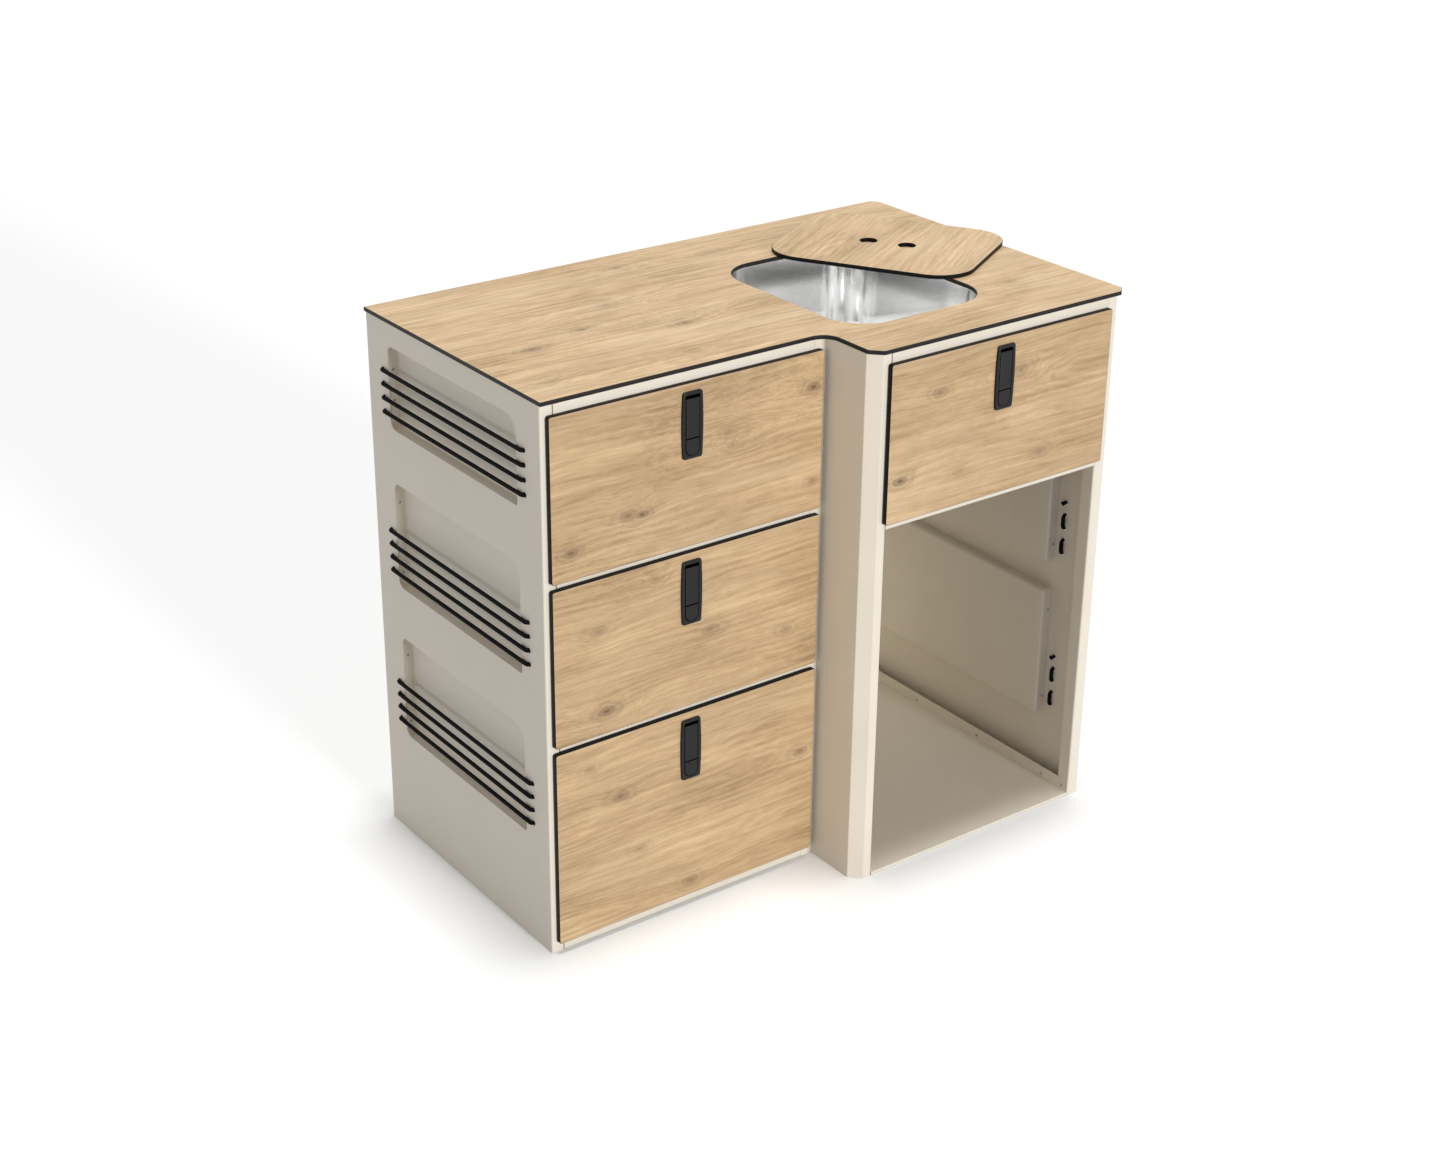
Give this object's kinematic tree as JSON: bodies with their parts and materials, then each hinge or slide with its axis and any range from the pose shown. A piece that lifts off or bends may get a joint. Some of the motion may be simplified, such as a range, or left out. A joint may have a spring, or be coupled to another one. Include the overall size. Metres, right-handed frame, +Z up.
{
  "type": "campervan kitchen pod",
  "caption": "Stepped kitchen cabinet for a camper van: steel carcass, oak-faced worktop, sink with lid, latched drawers, open bay and laced side pockets.",
  "frame": {"origin": "on the ground, under the middle of the pod's outer box with the lid lying on the worktop", "axes": "+X to the right along the front, +Y to the back, +Z up"},
  "size_m": [0.9948, 0.5976, 0.8667],
  "materials": {
    "cream_paint": "fine powder coat, low sheen",
    "oak_board": "oak laminate faces on a black compact core",
    "black_plastic": "satin black",
    "elastic_cord": "braided elastic cord",
    "stainless": "brushed stainless steel",
    "zinc_steel": "bright zinc"
  },
  "bodies": {
    "carcass": {"left_side_panel": "cream_paint", "divider_panel": "cream_paint", "right_side_panel": "cream_paint", "floor_pan": "cream_paint", "rear_panel": "cream_paint", "top_rail_left": "cream_paint", "top_rail_right": "cream_paint", "drawer_rail_upper": "cream_paint", "drawer_rail_lower": "cream_paint", "bay_rail": "cream_paint", "pocket_box_left_top": "cream_paint", "pocket_box_left_middle": "cream_paint", "pocket_box_left_bottom": "cream_paint", "pocket_box_right_top": "cream_paint", "pocket_box_right_bottom": "cream_paint", "pocket_cord_left_top": "elastic_cord", "pocket_cord_left_middle": "elastic_cord", "pocket_cord_left_bottom": "elastic_cord", "pocket_cord_right_top": "elastic_cord", "pocket_cord_right_bottom": "elastic_cord", "worktop": "oak_board", "sink_bowl": "stainless", "sink_waste": "stainless", "cabinet_runner_left_top_left": "zinc_steel", "cabinet_runner_left_top_right": "zinc_steel", "cabinet_runner_left_middle_left": "zinc_steel", "cabinet_runner_left_middle_right": "zinc_steel", "cabinet_runner_left_bottom_left": "zinc_steel", "cabinet_runner_left_bottom_right": "zinc_steel", "cabinet_runner_right_left": "zinc_steel", "cabinet_runner_right_right": "zinc_steel"},
    "drawer_left_top": {"drawer_front_left_top": "oak_board", "drawer_box_left_top": "zinc_steel", "latch_housing_left_top": "black_plastic", "drawer_runner_left_top_left": "zinc_steel", "drawer_runner_left_top_right": "zinc_steel"},
    "lever_left_top": {"latch_lever_left_top": "black_plastic"},
    "button_left_top": {"latch_button_left_top": "black_plastic"},
    "drawer_left_middle": {"drawer_front_left_middle": "oak_board", "drawer_box_left_middle": "zinc_steel", "latch_housing_left_middle": "black_plastic", "drawer_runner_left_middle_left": "zinc_steel", "drawer_runner_left_middle_right": "zinc_steel"},
    "lever_left_middle": {"latch_lever_left_middle": "black_plastic"},
    "button_left_middle": {"latch_button_left_middle": "black_plastic"},
    "drawer_left_bottom": {"drawer_front_left_bottom": "oak_board", "drawer_box_left_bottom": "zinc_steel", "latch_housing_left_bottom": "black_plastic", "drawer_runner_left_bottom_left": "zinc_steel", "drawer_runner_left_bottom_right": "zinc_steel"},
    "lever_left_bottom": {"latch_lever_left_bottom": "black_plastic"},
    "button_left_bottom": {"latch_button_left_bottom": "black_plastic"},
    "drawer_right": {"drawer_front_right": "oak_board", "drawer_box_right": "zinc_steel", "latch_housing_right": "black_plastic", "drawer_runner_right_left": "zinc_steel", "drawer_runner_right_right": "zinc_steel"},
    "lever_right": {"latch_lever_right": "black_plastic"},
    "button_right": {"latch_button_right": "black_plastic"},
    "sink_lid": {"sink_lid": "oak_board"}
  },
  "joints": [
    {"name": "drawer_left_top_slide", "type": "slide", "parent": "carcass", "child": "drawer_left_top", "axis": [0, -1, 0], "range_m": [0, 0.32]},
    {"name": "latch_left_top_lever", "type": "hinge", "parent": "drawer_left_top", "child": "lever_left_top", "pos_m": [-0.25104, -0.1885, 0.7602], "axis": [1, 0, 0], "range_deg": [0, 30], "stiffness_Nm_per_rad": 0.3},
    {"name": "latch_left_top_button", "type": "slide", "parent": "drawer_left_top", "child": "button_left_top", "axis": [0, 1, 0], "range_m": [0, 0.003], "stiffness_N_per_m": 300},
    {"name": "drawer_left_middle_slide", "type": "slide", "parent": "carcass", "child": "drawer_left_middle", "axis": [0, -1, 0], "range_m": [0, 0.32]},
    {"name": "latch_left_middle_lever", "type": "hinge", "parent": "drawer_left_middle", "child": "lever_left_middle", "pos_m": [-0.25104, -0.1885, 0.50583], "axis": [1, 0, 0], "range_deg": [0, 30], "stiffness_Nm_per_rad": 0.3},
    {"name": "latch_left_middle_button", "type": "slide", "parent": "drawer_left_middle", "child": "button_left_middle", "axis": [0, 1, 0], "range_m": [0, 0.003], "stiffness_N_per_m": 300},
    {"name": "drawer_left_bottom_slide", "type": "slide", "parent": "carcass", "child": "drawer_left_bottom", "axis": [0, -1, 0], "range_m": [0, 0.32]},
    {"name": "latch_left_bottom_lever", "type": "hinge", "parent": "drawer_left_bottom", "child": "lever_left_bottom", "pos_m": [-0.25104, -0.1885, 0.25226], "axis": [1, 0, 0], "range_deg": [0, 30], "stiffness_Nm_per_rad": 0.3},
    {"name": "latch_left_bottom_button", "type": "slide", "parent": "drawer_left_bottom", "child": "button_left_bottom", "axis": [0, 1, 0], "range_m": [0, 0.003], "stiffness_N_per_m": 300},
    {"name": "drawer_right_slide", "type": "slide", "parent": "carcass", "child": "drawer_right", "axis": [0, -1, 0], "range_m": [0, 0.32]},
    {"name": "latch_right_lever", "type": "hinge", "parent": "drawer_right", "child": "lever_right", "pos_m": [0.22911, -0.2955, 0.7602], "axis": [1, 0, 0], "range_deg": [0, 30], "stiffness_Nm_per_rad": 0.3},
    {"name": "latch_right_button", "type": "slide", "parent": "drawer_right", "child": "button_right", "axis": [0, 1, 0], "range_m": [0, 0.003], "stiffness_N_per_m": 300},
    {"name": "sink_lid_lift", "type": "slide", "parent": "carcass", "child": "sink_lid", "axis": [0, 0, 1], "range_m": [0, 0.15]}
  ]
}
